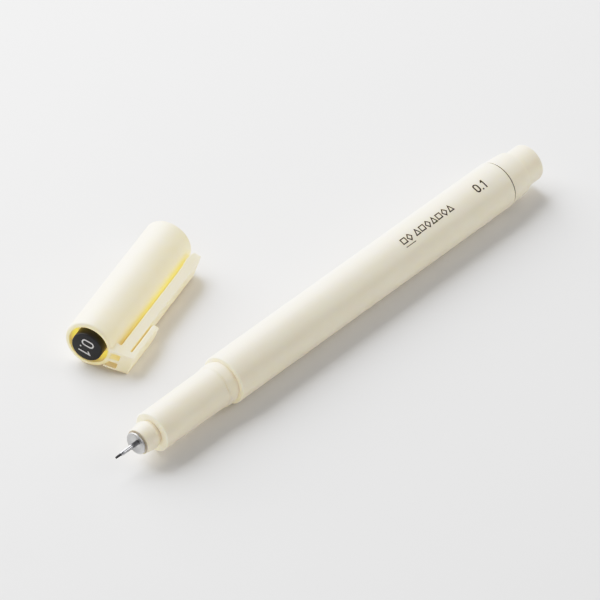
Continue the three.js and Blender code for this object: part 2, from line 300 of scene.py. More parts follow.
def rounded_box(name, low, high, rounding):
    """A box with rounded edges, from its lowest corner to its highest."""
    size = [high[axis] - low[axis] for axis in range(3)]
    middle = [(high[axis] + low[axis]) / 2 for axis in range(3)]
    made = bmesh.new()
    bmesh.ops.create_cube(made, size=1)
    bmesh.ops.scale(made, vec=size, verts=made.verts)
    bmesh.ops.translate(made, vec=middle, verts=made.verts)
    bmesh.ops.bevel(made, geom=made.edges[:], offset=rounding, segments=3, profile=0.5,
                    affect="EDGES")
    vertices = [tuple(vertex.co) for vertex in made.verts]
    faces = [[vertex.index for vertex in face.verts] for face in made.faces]
    made.free()
    return mesh_object(name, vertices, faces)


# ---------------------------------------------------------------- materials


def srgb(red, green, blue):
    """A linear colour from 8-bit sRGB values."""
    channels = []
    for value in (red, green, blue):
        share = value / 255
        channels.append(share / 12.92 if share <= 0.04045 else ((share + 0.055) / 1.055) ** 2.4)
    return (*channels, 1)


# The sockets of a Mix node that carry colours.
FIRST_COLOUR = 6
SECOND_COLOUR = 7
MIXED_COLOUR = 2
# Most values of a noise pattern lie between these.
NOISE_LOW = 0.3
NOISE_HIGH = 0.7


class Look:
    """A node material with a Principled shader and patterns in the object's own frame."""

    def __init__(self, name, **constants):
        self.material = bpy.data.materials.new(name)
        self.material.use_nodes = True
        self.nodes = self.material.node_tree.nodes
        self.links = self.material.node_tree.links
        self.shader = self.nodes["Principled BSDF"]
        for socket, value in constants.items():
            self.shader.inputs[socket.replace("_", " ")].default_value = value
        self.place = self.nodes.new("ShaderNodeTexCoord").outputs["Object"]
        self.height = None

    def noise(self, scale, detail=3, stretch=(1, 1, 1)):
        """A noise pattern. The scale is in features per metre."""
        mapping = self.nodes.new("ShaderNodeMapping")
        mapping.inputs["Scale"].default_value = stretch
        self.links.new(self.place, mapping.inputs["Vector"])
        texture = self.nodes.new("ShaderNodeTexNoise")
        texture.inputs["Scale"].default_value = scale
        texture.inputs["Detail"].default_value = detail
        self.links.new(mapping.outputs["Vector"], texture.inputs["Vector"])
        return texture.outputs["Fac"]

    def marked(self, name):
        """A piece's own 0 to 1 mark, as given by mark()."""
        node = self.nodes.new("ShaderNodeAttribute")
        node.attribute_type = "GEOMETRY"
        node.attribute_name = name
        return node.outputs["Fac"]

    def edges(self, low, high):
        """How much of a worn edge a point is, from 0 to 1."""
        pointiness = self.nodes.new("ShaderNodeNewGeometry").outputs["Pointiness"]
        return self.ranged(pointiness, low, high, 0, 1)

    def ranged(self, value, low, high, to_low, to_high):
        """A value's range carried over to another range, and clamped to it."""
        node = self.nodes.new("ShaderNodeMapRange")
        for socket, number in zip(("From Min", "From Max", "To Min", "To Max"),
                                  (low, high, to_low, to_high)):
            node.inputs[socket].default_value = number
        self.links.new(value, node.inputs["Value"])
        return node.outputs["Result"]

    def spread(self, pattern, to_low=0, to_high=1):
        """A noise pattern carried over to another range."""
        return self.ranged(pattern, NOISE_LOW, NOISE_HIGH, to_low, to_high)

    def mixed(self, share, first, second):
        """A colour between two colours, each a value or an output."""
        node = self.nodes.new("ShaderNodeMix")
        node.data_type = "RGBA"
        self.links.new(share, node.inputs["Factor"])
        for place, colour in ((FIRST_COLOUR, first), (SECOND_COLOUR, second)):
            if isinstance(colour, bpy.types.NodeSocket):
                self.links.new(colour, node.inputs[place])
            else:
                node.inputs[place].default_value = colour
        return node.outputs[MIXED_COLOUR]

    def colour(self, output):
        self.links.new(output, self.shader.inputs["Base Color"])

    def glow(self, output):
        """Painted light: emission that stands in for light that comes out of translucent plastic after passing
        through it.
        """
        self.links.new(output, self.shader.inputs["Emission Color"])
        self.shader.inputs["Emission Strength"].default_value = 1

    def roughness(self, output):
        self.links.new(output, self.shader.inputs["Roughness"])

    def bump(self, height, strength, distance):
        """Adds a bump, its distance in metres, over any bump there is."""
        node = self.nodes.new("ShaderNodeBump")
        node.inputs["Strength"].default_value = strength
        node.inputs["Distance"].default_value = distance
        self.links.new(height, node.inputs["Height"])
        if self.height is not None:
            self.links.new(self.height, node.inputs["Normal"])
        self.height = node.outputs["Normal"]
        self.links.new(self.height, self.shader.inputs["Normal"])


# The colours of painted shade, in plastic and in steel.
PLASTIC_PAINTED_SHADE = (0.11, 0.078, 0.042, 1)
STEEL_PAINTED_SHADE = (0.03, 0.03, 0.032, 1)
UNLIT = (0, 0, 0, 1)
SCATTER_COLOUR = (1.0, 0.86, 0.42)  # how far red, green and blue light go, as shares of the depth
SCATTER_DEPTH = 1.1


def moulded_plastic(name, light, dark, edge, rough, translucent=0.0,
                    glow=UNLIT, bright_glow=UNLIT, shine=0.5):
    """Satin moulded plastic: a soft mottle, a fine spark-eroded grain and paler worn edges.

    Places marked "shade" get painted shade. The glow is painted light, and places marked "glow" have more of the
    bright glow.
    """
    look = Look(name, Specular_IOR_Level=shine)
    if translucent:
        look.shader.inputs["Subsurface Weight"].default_value = translucent
        look.shader.inputs["Subsurface Radius"].default_value = SCATTER_COLOUR
        look.shader.inputs["Subsurface Scale"].default_value = SCATTER_DEPTH * MM
    mottle = look.spread(look.noise(240, 4))
    worn = look.edges(0.51, 0.56)
    plain = look.mixed(worn, look.mixed(mottle, light, dark), edge)
    # Painted shade where the piece is marked "shade".
    look.colour(look.mixed(look.marked("shade"), plain, PLASTIC_PAINTED_SHADE))
    # Painted light: an emission, stronger where the piece is marked "glow".
    if bright_glow != UNLIT:
        look.glow(look.mixed(look.marked("glow"), glow, bright_glow))
    look.roughness(look.spread(look.noise(700, 4), rough - 0.05, rough + 0.06))
    look.bump(look.noise(1300, 3), 0.12, 0.02 * MM)
    look.bump(look.noise(9000, 2), 0.25, 0.006 * MM)
    return look.material


# Painted light: the cream pieces glow a little all over, which lifts their shaded sides, and more where marked.
cream = moulded_plastic(
    "cream_plastic",
    light=srgb(250, 239, 217), dark=srgb(248, 236, 213), edge=srgb(251, 243, 224),
    rough=0.45, translucent=0.35,
    glow=(0.06, 0.052, 0.038, 1), bright_glow=(0.15, 0.14, 0.1, 1))
# Painted light: the cap glows more than the pen, and a strong yellow where marked, for light that passes through
# its thin walls.
cap_cream = moulded_plastic(
    "cap_plastic",
    light=srgb(250, 240, 216), dark=srgb(248, 237, 211), edge=srgb(251, 243, 222),
    rough=0.45, translucent=0.35,
    glow=(0.11, 0.082, 0.035, 1), bright_glow=(0.52, 0.38, 0.05, 1))
# Painted light: the liner glows yellow where marked.
white = moulded_plastic(
    "white_plastic",
    light=srgb(248, 246, 236), dark=srgb(246, 243, 231), edge=srgb(250, 249, 242),
    rough=0.45, translucent=0.3,
    bright_glow=(0.25, 0.19, 0.02, 1))
black = moulded_plastic(
    "black_plastic",
    light=srgb(15, 15, 18), dark=srgb(11, 11, 14), edge=srgb(44, 44, 48),
    rough=0.33, shine=0.32)


def bare_steel(name, light, dark, smooth, rough):
    """Steel with the fine rings that turning leaves. Places marked "shade" get painted shade."""
    look = Look(name, Metallic=1.0)
    mottle = look.spread(look.noise(900, 4))
    plain = look.mixed(mottle, light, dark)
    # Painted shade where the piece is marked "shade".
    look.colour(look.mixed(look.marked("shade"), plain, STEEL_PAINTED_SHADE))
    marks = look.noise(14000, 2, stretch=(1, 0.03, 0.03))
    look.roughness(look.spread(marks, smooth, rough))
    look.bump(marks, 0.2, 0.002 * MM)
    return look.material


def soaked_nib():
    """The writing point, with pores that are wet with ink."""
    look = Look("nib_black")
    pores = look.noise(5000, 4)
    look.colour(look.mixed(pores, srgb(26, 26, 30), srgb(46, 46, 52)))
    look.roughness(look.spread(look.noise(8000), 0.4, 0.65))
    look.bump(look.noise(12000, 2), 0.3, 0.008 * MM)
    return look.material


def soaked_fibre():
    """A bonded fibre rod, with its strands along the pen."""
    look = Look("ink_fibre")
    strands = look.noise(6000, 4, stretch=(0.04, 1, 1))
    look.colour(look.mixed(strands, srgb(22, 22, 28), srgb(58, 58, 70)))
    look.roughness(look.spread(strands, 0.75, 0.95))
    look.bump(strands, 0.6, 0.04 * MM)
    return look.material


def thin_film():
    """Clear film with long creases."""
    look = Look("clear_film", Transmission_Weight=0.85, IOR=1.5)
    creases = look.noise(500, 3, stretch=(0.3, 1, 1))
    look.colour(look.mixed(creases, srgb(226, 230, 233), srgb(240, 242, 244)))
    look.roughness(look.spread(creases, 0.12, 0.3))
    look.bump(creases, 0.3, 0.03 * MM)
    return look.material


def printed_ink(name, full, thin):
    """Pad-printed ink, a little thinner in places."""
    look = Look(name, Specular_IOR_Level=0.2)
    thinner = look.ranged(look.noise(5200, 3), 0.42, 0.75, 0, 1)
    look.colour(look.mixed(thinner, full, thin))
    look.roughness(look.spread(look.noise(3000), 0.4, 0.55))
    look.bump(look.noise(9000, 2), 0.2, 0.004 * MM)
    return look.material


disc_steel = bare_steel(
    "disc_steel",
    light=srgb(214, 214, 214), dark=srgb(202, 202, 202), smooth=0.42, rough=0.55)
needle_steel = bare_steel(
    "needle_steel",
    light=srgb(196, 196, 199), dark=srgb(180, 180, 184), smooth=0.14, rough=0.22)
nib_black = soaked_nib()
ink_fibre = soaked_fibre()
clear_film = thin_film()
brown_print = printed_ink("brown_print", srgb(58, 46, 30), srgb(72, 59, 41))
pale_print = printed_ink("pale_print", srgb(228, 228, 228), srgb(205, 205, 206))


def mark(piece, name, share_at):
    """Marks each face corner of a piece from 0 to 1, from its point and its face's normal."""
    mesh = piece.data
    shares = mesh.attributes.new(name, "FLOAT", "CORNER").data
    for face in mesh.polygons:
        for loop in face.loop_indices:
            point = mesh.vertices[mesh.loops[loop].vertex_index].co
            shares[loop].value = share_at(point, face.normal)


def eased(value, low, high):
    """A smooth step from 0 at the low value to 1 at the high one, either way round."""
    share = min(1.0, max(0.0, (value - low) / (high - low)))
    return share * share * (3 - 2 * share)


def from_axis(point):
    """A point's distance from the local X axis."""
    return math.hypot(point.y, point.z)


def finish_piece(piece, place, material, slot, body, *nodes):
    """Puts a piece in place, with its material, body and the nodes it replaces. The slot is not used."""
    piece.data.transform(place)
    piece.data.materials.clear()
    piece.data.materials.append(material)
    if nodes:
        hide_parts(*nodes)
    if body:
        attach(piece, body)


# ---------------------------------------------------------------- pen


def make_nib():
    """The writing point, worn a little round at its end."""
    worn_radius = 0.22
    return turned("nib_tip", [
        (0, 0),
        (0, worn_radius, 0.12),
        (0.35, NIB_RADIUS, 0.2),
        (NIB_BACK, NIB_RADIUS),
        (NIB_BACK, 0),
    ], SMALL_SIDES, hollow=False)


def make_needle():
    """The steel tube, with a few rings where its painted shade sets in."""
    darkening = NEEDLE_DARK_END - NEEDLE_DARK_START
    rings = 3
    outside = [(NEEDLE_DARK_START + darkening * ring / rings, NEEDLE_RADIUS)
               for ring in range(rings + 1)]
    return turned("needle", [
        (NIB_BARE, NEEDLE_MOUTH + 0.06, 0.03),
        (NIB_BARE + 0.55, NEEDLE_RADIUS, 0.4),
        *outside,
        (NEEDLE_BACK, NEEDLE_RADIUS),
        (NEEDLE_BACK, NEEDLE_BORE),
        (NIB_BARE + 0.5, NEEDLE_BORE),
        (NIB_BARE, NEEDLE_MOUTH, 0.02),
    ], SMALL_SIDES)


def make_tip_disc():
    """The bright dish that faces the nib, with the neck and shank that hold it."""
    bore = NEEDLE_RADIUS + 0.03
    rim = DISC_RADIUS - 0.07
    neck = 1.9
    shoulder = NOSE_FRONT + DISC_SHEET
    rings = 14

    def dish(radius):
        """The station of the dish's face at a radius."""
        return DISC_FRONT + DISH_DEPTH * (1 - (radius / rim) ** 2)

    face = []
    for ring in range(rings + 1):
        radius = bore + (rim - bore) * ring / rings
        face.append((dish(radius), radius))
    return turned("tip_disc", [
        *face,
        (DISC_FRONT, DISC_RADIUS, 0.05),
        (DISC_FRONT + DISC_SHEET, DISC_RADIUS, 0.08),
        (dish(neck) + DISC_SHEET, neck),
        (shoulder, neck),
        (shoulder, HOLDER_SHANK),
        (HOLDER_BACK, HOLDER_SHANK),
        (HOLDER_BACK, bore),
    ])


def make_nose():
    """The stub that holds the steel tip, with a shank in the grip section."""
    front = 2.85
    back = 3.22
    shank = 3.3
    holder_bore = HOLDER_SHANK + 0.1
    holder_seat = HOLDER_BACK + 0.1
    recess = 2.0
    recess_back = NOSE_FRONT + 0.35
    return turned("nose", [
        (NOSE_FRONT, front, 0.22),
        (SECTION_FRONT - 1.15, back, 0.6),
        (SECTION_FRONT + 0.05, NOSE_WAIST),
        (SECTION_FRONT + 0.5, NOSE_WAIST),
        (SECTION_FRONT + 0.6, shank),
        (NOSE_BACK, shank, 0.2),
        (NOSE_BACK, WICK_SEAT),
        (holder_seat, WICK_SEAT),
        (holder_seat, holder_bore),
        (recess_back, holder_bore),
        (recess_back, recess),
        (NOSE_FRONT, recess, 0.1),
    ])


def make_grip():
    """The section the fingers hold, with a collar and a shallow crescent cut on two sides."""
    front = 4.45
    back = 4.58
    collar = 4.8
    neck = 4.47
    spigot = 4.35
    mouth = NOSE_WAIST + 0.02
    grip = turned("grip_section", [
        (SECTION_FRONT, front, 0.3),
        (COLLAR_FRONT - 0.1, back, 0.5),
        (COLLAR_FRONT + 0.4, collar, 0.3),
        (COLLAR_BACK - 0.22, collar, 0.12),
        (COLLAR_BACK, neck, 0.1),
        (BARREL_FRONT + 0.4, neck),
        (BARREL_FRONT + 0.5, spigot),
        (SPIGOT_BACK, spigot, 0.3),
        (SPIGOT_BACK, SECTION_BORE, 0.1),
        (SECTION_FRONT + 0.6, SECTION_BORE, 0.1),
        (SECTION_FRONT + 0.4, mouth),
        (SECTION_FRONT, mouth, 0.12),
    ])
    for turn in (NOTCH_ANGLE, NOTCH_ANGLE + math.pi):
        notch = rounded_box(
            "notch",
            (COLLAR_FRONT - 0.2, -BODY_RADIUS, -NOTCH_HALF_WIDTH),
            (COLLAR_FRONT + 0.15, -NOTCH_BOTTOM, NOTCH_HALF_WIDTH),
            0.08)
        notch.data.transform(Matrix.Rotation(-turn, 4, "X"))
        combined(grip, notch, "DIFFERENCE")
    return grip


def make_barrel():
    return turned("barrel_tube", [
        (BARREL_FRONT, BODY_RADIUS, 0.32),
        (BARREL_BACK, BODY_RADIUS, 0.12),
        (BARREL_BACK, BARREL_BORE, 0.1),
        (BARREL_FRONT, BARREL_BORE, 0.04),
    ])


def make_tail():
    """A cone, a step and a post, with the shallow ring that a mould's gate leaves."""
    skirt_front = 113.0
    skirt = 4.4
    core = 3.3
    core_back = 127.0
    cone_back = 4.98
    post_front = 4.34
    post_back = 4.3
    gate = 0.75
    gate_floor = TAIL_END - 0.12
    return turned("tail_end", [
        (core_back, 0),
        (core_back, core, 0.3),
        (skirt_front, core, 0.1),
        (skirt_front, skirt, 0.2),
        (TAIL_FRONT, skirt),
        (TAIL_FRONT, TAIL_CONE_RADIUS, 0.12),
        (TAIL_STEP, cone_back, 0.2),
        (TAIL_STEP, post_front, 0.15),
        (TAIL_END, post_back, 0.6),
        (TAIL_END, gate, 0.05),
        (gate_floor, gate - 0.1, 0.05),
        (gate_floor, 0),
    ], hollow=False)


# How dark the painted shade on the marked places of the pen is, from 0 to 1.
NEEDLE_SHADE = 0.6
FRONT_SHADE = 0.35
WAIST_SHADE = 0.28


def front_glow(point, normal):
    """Painted light on the front faces of the grip section and the barrel, for thin walls that pass some light."""
    rounding = 0.33
    at_front = min(abs(point.x - SECTION_FRONT), abs(point.x - BARREL_FRONT)) < rounding
    return float(at_front and normal.x < -0.35)


def needle_shade(point, normal):
    """Painted shade: the needle is dark close to the disc."""
    return NEEDLE_SHADE * eased(point.x, NEEDLE_DARK_START, NEEDLE_DARK_END)


def nose_shade(point, normal):
    """Painted shade: the nose is darker behind the disc, and in its waist close to the grip section."""
    behind_disc = normal.x < -0.9 and point.x < NOSE_FRONT + 0.1
    if behind_disc:
        return FRONT_SHADE
    in_waist = SECTION_FRONT - 1.2 < point.x < SECTION_FRONT + 0.1
    return WAIST_SHADE * in_waist * eased(from_axis(point), 3.2, NOSE_WAIST + 0.1)


def tail_joint_shade(point, normal):
    """Painted shade in the narrow joint between the barrel and the tail."""
    between = BARREL_BACK - NEAR < point.x < TAIL_FRONT + NEAR
    return float(between and from_axis(point) < TAIL_CONE_RADIUS - 0.03)


finish_piece(make_nib(), PEN, nib_black, "nib_black", "pen", "nib")
needle = make_needle()
mark(needle, "shade", needle_shade)
finish_piece(needle, PEN, needle_steel, "steel", "pen", "needle_tube")
finish_piece(make_tip_disc(), PEN, disc_steel, "steel", "pen", "tip_holder")
nose = make_nose()
mark(nose, "shade", nose_shade)
finish_piece(nose, PEN, cream, "cream_plastic", "pen", "nose_piece")
for piece, node in ((make_grip(), "front_section"), (make_barrel(), "barrel")):
    mark(piece, "glow", front_glow)
    mark(piece, "shade", tail_joint_shade)
    finish_piece(piece, PEN, cream, "cream_plastic", "pen", node)
tail = make_tail()
mark(tail, "shade", tail_joint_shade)
finish_piece(tail, PEN, cream, "cream_plastic", "pen", "tail_plug")

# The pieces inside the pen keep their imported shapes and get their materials.
INSIDE_PIECES = (
    ("feed_wick", ink_fibre),
    ("ink_reservoir", ink_fibre),
    ("reservoir_film", clear_film),
)
for node, material in INSIDE_PIECES:
    frame["nodes"][node].data.materials.clear()
    frame["nodes"][node].data.materials.append(material)

# ---------------------------------------------------------------- cap


def make_cap_tube():
    """The cap's tube, with a low bead inside its mouth that snaps over the collar."""
    wall = BODY_RADIUS - CAP_BORE
    bead = 34.3
    rings = 12
    outside = [(CAP_LENGTH * ring / rings, BODY_RADIUS) for ring in range(1, rings)]
    return turned("cap_tube", [
        (0, BODY_RADIUS, 0.55),
        *outside,
        (CAP_LENGTH, BODY_RADIUS, 0.3),
        (CAP_LENGTH, CAP_BORE + wall / 2, 0.05),
        (CAP_LENGTH - wall, CAP_BORE, 0.2),
        (bead + 0.7, CAP_BORE, 0.3),
        (bead, CAP_BORE - 0.14, 0.4),
        (bead - 0.7, CAP_BORE, 0.3),
        (END_LIP_BACK + wall, CAP_BORE, 0.2),
        (END_LIP_BACK, END_LIP_RADIUS, 0.2),
        (0, END_LIP_RADIUS, 0.08),
    ])


def make_cap_liner():
    """The cup that seals the tip, with fins that hold it in the tube."""
    peg_seat = PEG_BACK + 0.1
    peg_bore = PEG_RADIUS + 0.1
    cup_floor = 4.7
    tip_bore = 2.6
    nose_bore = 3.38
    nose_stop = 11.0
    liner = turned("cap_liner", [
        (peg_seat, 0),
        (peg_seat, peg_bore),
        (LINER_FRONT, peg_bore, 0.08),
        (LINER_FRONT, LINER_RADIUS, 0.3),
        (LINER_BACK, LINER_RADIUS, 0.15),
        (LINER_BACK, nose_bore, 0.2),
        (nose_stop, nose_bore, 0.1),
        (nose_stop, tip_bore, 0.2),
        (cup_floor, tip_bore, 0.6),
        (cup_floor, 0),
    ], hollow=False)
    fin_low = (3.4, 3.5, -0.4)
    fin_high = (12.4, 4.8, 0.4)
    for index in range(FIN_COUNT):
        angle = (index + 0.5) * 2 * math.pi / FIN_COUNT
        fin = rounded_box("fin", fin_low, fin_high, 0.12)
        fin.data.transform(Matrix.Rotation(angle, 4, "X"))
        combined(liner, fin, "UNION")
    return liner


def make_cap_plug():
    """The black plug: a disc that stands proud of the cap, and a peg in the liner's seat."""
    disc_back = LINER_FRONT - 0.1
    return turned("cap_plug", [
        (-PLUG_PROUD, 0),
        (-PLUG_PROUD, PLUG_RADIUS, 0.28),
        (disc_back, PLUG_RADIUS, 0.1),
        (disc_back, PEG_RADIUS, 0.1),
        (PEG_BACK, PEG_RADIUS, 0.2),
        (PEG_BACK, 0),
    ], hollow=False)


# ---------------------------------------------------------------- clip
# In the clip's own frame X runs along the cap, Y away from its axis and Z across the clip.


def clip_outline():
    """The clip's side view, with close points: root, arm, foot under the arm, slit and tab."""
    foot_middle = (FOOT_FRONT + FOOT_BACK) / 2
    corners = [
        (ROOT_FRONT, ROOT_INSIDE),
        (ARM_FRONT, ROOT_INSIDE),
        (ARM_FRONT, ARM_INSIDE, 0.35),
        (FOOT_FRONT, ARM_INSIDE, 8),
        (foot_middle + 0.5, ARM_INSIDE - FOOT_DEPTH, 5),
        (FOOT_BACK, ARM_INSIDE - 0.1, 1.0),
        (ARM_TIP, ARM_INSIDE + 0.4, 0.25),
        (ARM_TIP, ARM_OUTSIDE - 0.55, 0.5),
        (ARM_TIP - 2.2, ARM_OUTSIDE, 2.0),
        (SLIT_FRONT, ARM_OUTSIDE, 0.1),
        (SLIT_FRONT, TAB_INSIDE, 0.1),
        (TAB_TIP, TAB_INSIDE, 0.45),
        (TAB_TIP, TAB_OUTSIDE, 0.3),
        (ROOT_FRONT + ROOT_LEAN, TAB_OUTSIDE, 0.25),
    ]
    return densified(rounded(corners, closed=True), CLIP_SPACING, closed=True)


def clip_half_width(point):
    """Half of the clip's width at a point of its side view: both tips are round in plan."""
    on_tab = point.y > (ARM_OUTSIDE + TAB_INSIDE) / 2
    tip, radius = (TAB_TIP, TAB_TIP_ROUND) if on_tab else (ARM_TIP, ARM_TIP_ROUND)
    into_round = max(0.0, point.x - (tip - radius))
    drop = radius - math.sqrt(max(0.0, radius ** 2 - into_round ** 2))
    return CLIP_WIDTH / 2 - drop


def clip_columns():
    """Copies of the side view across the clip, each an (inset, side, narrowing) triple.

    The inset draws the outline in. The side runs from -1 to 1 across the width, less the
    narrowing. The first and the last few columns round the clip's edges.
    """
    edge_steps = 4
    middle_steps = 8
    edge = []
    for step in range(edge_steps + 1):
        angle = math.pi / 2 * step / edge_steps
        edge.append((CLIP_EDGE * (1 - math.sin(angle)), -1, CLIP_EDGE * (1 - math.cos(angle))))
    middle = [(0, 2 * step / middle_steps - 1, CLIP_EDGE) for step in range(1, middle_steps)]
    other_edge = [(inset, -side, narrowing) for inset, side, narrowing in reversed(edge)]
    return edge + middle + other_edge


def clip_body():
    """The clip's solid, before the pockets are cut in its root."""
    outline = clip_outline()
    count = len(outline)
    inward = []
    for index in range(count):
        along = (outline[(index + 1) % count] - outline[index - 1]).normalized()
        inward.append(Vector((-along.y, along.x)))
    columns = clip_columns()
    vertices = []
    for inset, side, narrowing in columns:
        for point, normal in zip(outline, inward):
            x, y = point + normal * inset
            z = side * (clip_half_width(point) - narrowing)
            if point.y < ROOT_INSIDE + NEAR:
                y = math.sqrt(ROOT_INSIDE ** 2 - z ** 2)
            vertices.append((x, y, z))
    faces = []
    last = (len(columns) - 1) * count
    for base in range(0, last, count):
        for index in range(count):
            after = (index + 1) % count
            faces.append((base + index, base + after, base + count + after,
                          base + count + index))
    # The two flat sides, filled with triangles.
    ring = list(range(count))
    side_view = [Vector(vertex[:2]) for vertex in vertices[:count]]
    for triangle in delaunay_2d_cdt(side_view, [], [ring], 1, SAME_POINT)[2]:
        faces.append(tuple(triangle))
        faces.append(tuple(last + index for index in reversed(triangle)))
    return mesh_object("cap_clip", vertices, faces)


def make_clip():
    """The clip, with two pockets that are open at the cap's closed end."""
    clip = clip_body()
    clear_of_end = -2
    clear_of_foot = 3.5
    for middle in (-POCKET_MIDDLE, POCKET_MIDDLE):
        pocket = rounded_box(
            "pocket",
            (clear_of_end, clear_of_foot, middle - POCKET_WIDTH / 2),
            (POCKET_BACK, POCKET_OUTSIDE, middle + POCKET_WIDTH / 2),
            0.18)
        combined(clip, pocket, "DIFFERENCE")
    return clip


# How strong the painted glow and the painted shade on the marked places of the cap are, from 0 to 1.
HOLLOW_GLOW = 0.4
TUBE_GLOW = 0.3
SLIT_GLOW = 0.03
ARM_GLOW = 0.4
ARM_EDGE_GLOW = 0.8
TUBE_SHADE = 0.25
DIM_POCKET_GLOW = 0.15      # the pocket on the clip's +Z side
DIM_POCKET_SHADE = 0.3
LIT_POCKET_GLOW = 0.25      # the pocket on its -Z side
LIT_POCKET_SHADE = 0.12


def inside_tube(point):
    """Whether a point is on the tube's inside."""
    return from_axis(point) < CAP_BORE + 0.1


def under_arm(point):
    """How much the clip's arm covers a point of the tube's outside, from 0 to 1."""
    off_clip = math.remainder(math.atan2(point.z, point.y) - CLIP_TURN, 2 * math.pi)
    return eased(abs(off_clip), math.radians(44), math.radians(6))


def tube_glow(point, normal):
    """Painted light under the clip's arm and in the hollow round the plug."""
    if inside_tube(point):
        return HOLLOW_GLOW * eased(point.x, 4.0, LINER_FRONT)
    along = eased(point.x, 3, 22) * eased(point.x, CAP_LENGTH, 31)
    return TUBE_GLOW * under_arm(point) * along


def tube_shade(point, normal):
    """Painted shade on the tube under the arm, close to the clip's root."""
    if inside_tube(point):
        return 0.0
    along = eased(point.x, 0.5, 3) * eased(point.x, 20, 6)
    return TUBE_SHADE * under_arm(point) * along


def liner_glow(point, normal):
    """Painted light on the liner's front, as if lit through the hollow round the plug."""
    return eased(point.x, LINER_FRONT + 1.5, LINER_FRONT)


def in_pocket(point, normal):
    """Whether a point is on a wall of one of the two pockets in the clip's root."""
    return (point.x < POCKET_BACK + NEAR
            and point.y < POCKET_OUTSIDE + NEAR
            and abs(point.z) < CLIP_WIDTH / 2 - 0.3
            and normal.x > -0.5)


def in_slit(point, normal):
    """Whether a point is on a wall of the slit between the arm and the tab."""
    return (point.x < TAB_TIP - 0.5
            and abs(normal.z) < 0.5
            and min(abs(point.y - ARM_OUTSIDE),
                    abs(point.y - TAB_INSIDE),
                    abs(point.x - SLIT_FRONT)) < NEAR)


def clip_glow(point, normal):
    """Painted light in the slit, in the pockets and on the arm's underside."""
    if in_pocket(point, normal):
        return DIM_POCKET_GLOW if point.z > 0 else LIT_POCKET_GLOW
    if in_slit(point, normal):
        return SLIT_GLOW
    faces_tube = point.y < ARM_INSIDE + CLIP_EDGE + NEAR and normal.y < -0.2
    on_edge = abs(normal.z) > 0.2
    strength = ARM_EDGE_GLOW if on_edge else ARM_GLOW
    return faces_tube * strength * eased(point.x, ARM_FRONT - 0.1, 6)


def clip_shade(point, normal):
    """Painted shade on the walls of the deep pockets."""
    if not in_pocket(point, normal):
        return 0.0
    return DIM_POCKET_SHADE if point.z > 0 else LIT_POCKET_SHADE


tube = make_cap_tube()
mark(tube, "glow", tube_glow)
mark(tube, "shade", tube_shade)
finish_piece(tube, CAP, cap_cream, "cream_plastic", "cap", "cap_shell")
liner = make_cap_liner()
mark(liner, "glow", liner_glow)
finish_piece(liner, CAP, white, "white_plastic", "cap", "inner_cap")
finish_piece(make_cap_plug(), CAP, black, "black_plastic", "cap", "end_plug")
clip = make_clip()
mark(clip, "glow", clip_glow)
mark(clip, "shade", clip_shade)
finish_piece(clip, CLIP, cap_cream, "cream_plastic", None, "clip_root", "clip_arm")
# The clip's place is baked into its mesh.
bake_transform(clip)

# ---------------------------------------------------------------- print
# Printed marks are strokes of ink with a thickness of their own.

INK_THICKNESS = 0.012
INK_SUNK = 0.02
INK_SPACING = 0.15          # between points of a stroke
RING_POINTS = 20            # in a zero


def on_barrel(along, around, height):
    """A point of the barrel's surface: its station, its way up the side and its height."""
    angle = around / BODY_RADIUS
    radius = BODY_RADIUS + height
    return (along, -radius * math.cos(angle), radius * math.sin(angle))


def on_plug(along, up, height):
    """A point of the plug's face, in the clip's frame."""
    return (-PLUG_PROUD - height, up, along)


def stroke(points, width, closed):
    """Left and right edges of a line of ink along 2-D points, mitred at its corners."""
    count = len(points)
    left, right = [], []
    for index, point in enumerate(points):
        before = points[index - 1] if closed or index else point
        after = points[(index + 1) % count] if closed or index < count - 1 else point
        steps = [step.normalized() for step in (point - before, after - point)
                 if step.length > SAME_POINT]
        along = sum(steps, Vector((0, 0))).normalized()
        normal = Vector((-along.y, along.x))
        mitre = width / 2 / max(0.5, abs(along.dot(steps[0])))
        left.append(point + normal * mitre)
        right.append(point - normal * mitre)
    return left, right


def print_object(name, strokes, surface, place, material, body, slot):
    """One printed piece from (points, width, closed) strokes laid on a surface."""
    vertices, faces = [], []
    for points, width, closed in strokes:
        fine = densified(points, INK_SPACING, closed)
        left, right = stroke(fine, width, closed)
        count = len(fine)
        base = len(vertices)
        # Four rows of points: the two top edges of the ink and the two sunk ones.
        for row, height in ((left, INK_THICKNESS), (right, INK_THICKNESS),
                            (right, -INK_SUNK), (left, -INK_SUNK)):
            vertices += [surface(point.x, point.y, height) for point in row]
        last = count if closed else count - 1
        for index in range(last):
            after = (index + 1) % count
            for corner in range(4):
                first = base + corner * count
                second = base + (corner + 1) % 4 * count
                faces.append((first + index, first + after, second + after, second + index))
        if not closed:
            for index in (0, count - 1):
                faces.append([base + corner * count + index for corner in range(4)])
    finish_piece(mesh_object(name, vertices, faces), place, material, slot, body)


def shifted(points, along, up):
    """Points as vectors, moved along and up."""
    return [Vector((x + along, y + up)) for x, y in points]


def zero(width, height):
    """A tall ring: two half circles, and a point half-way up each side between them."""
    radius = width / 2
    points = []
    for step in range(RING_POINTS):
        angle = 2 * math.pi * step / RING_POINTS
        rise = round(math.sin(angle), 6)
        straight = math.copysign(height / 2 - radius, rise) if rise else 0
        points.append((radius + radius * math.cos(angle),
                       height / 2 + straight + radius * math.sin(angle)))
    return points


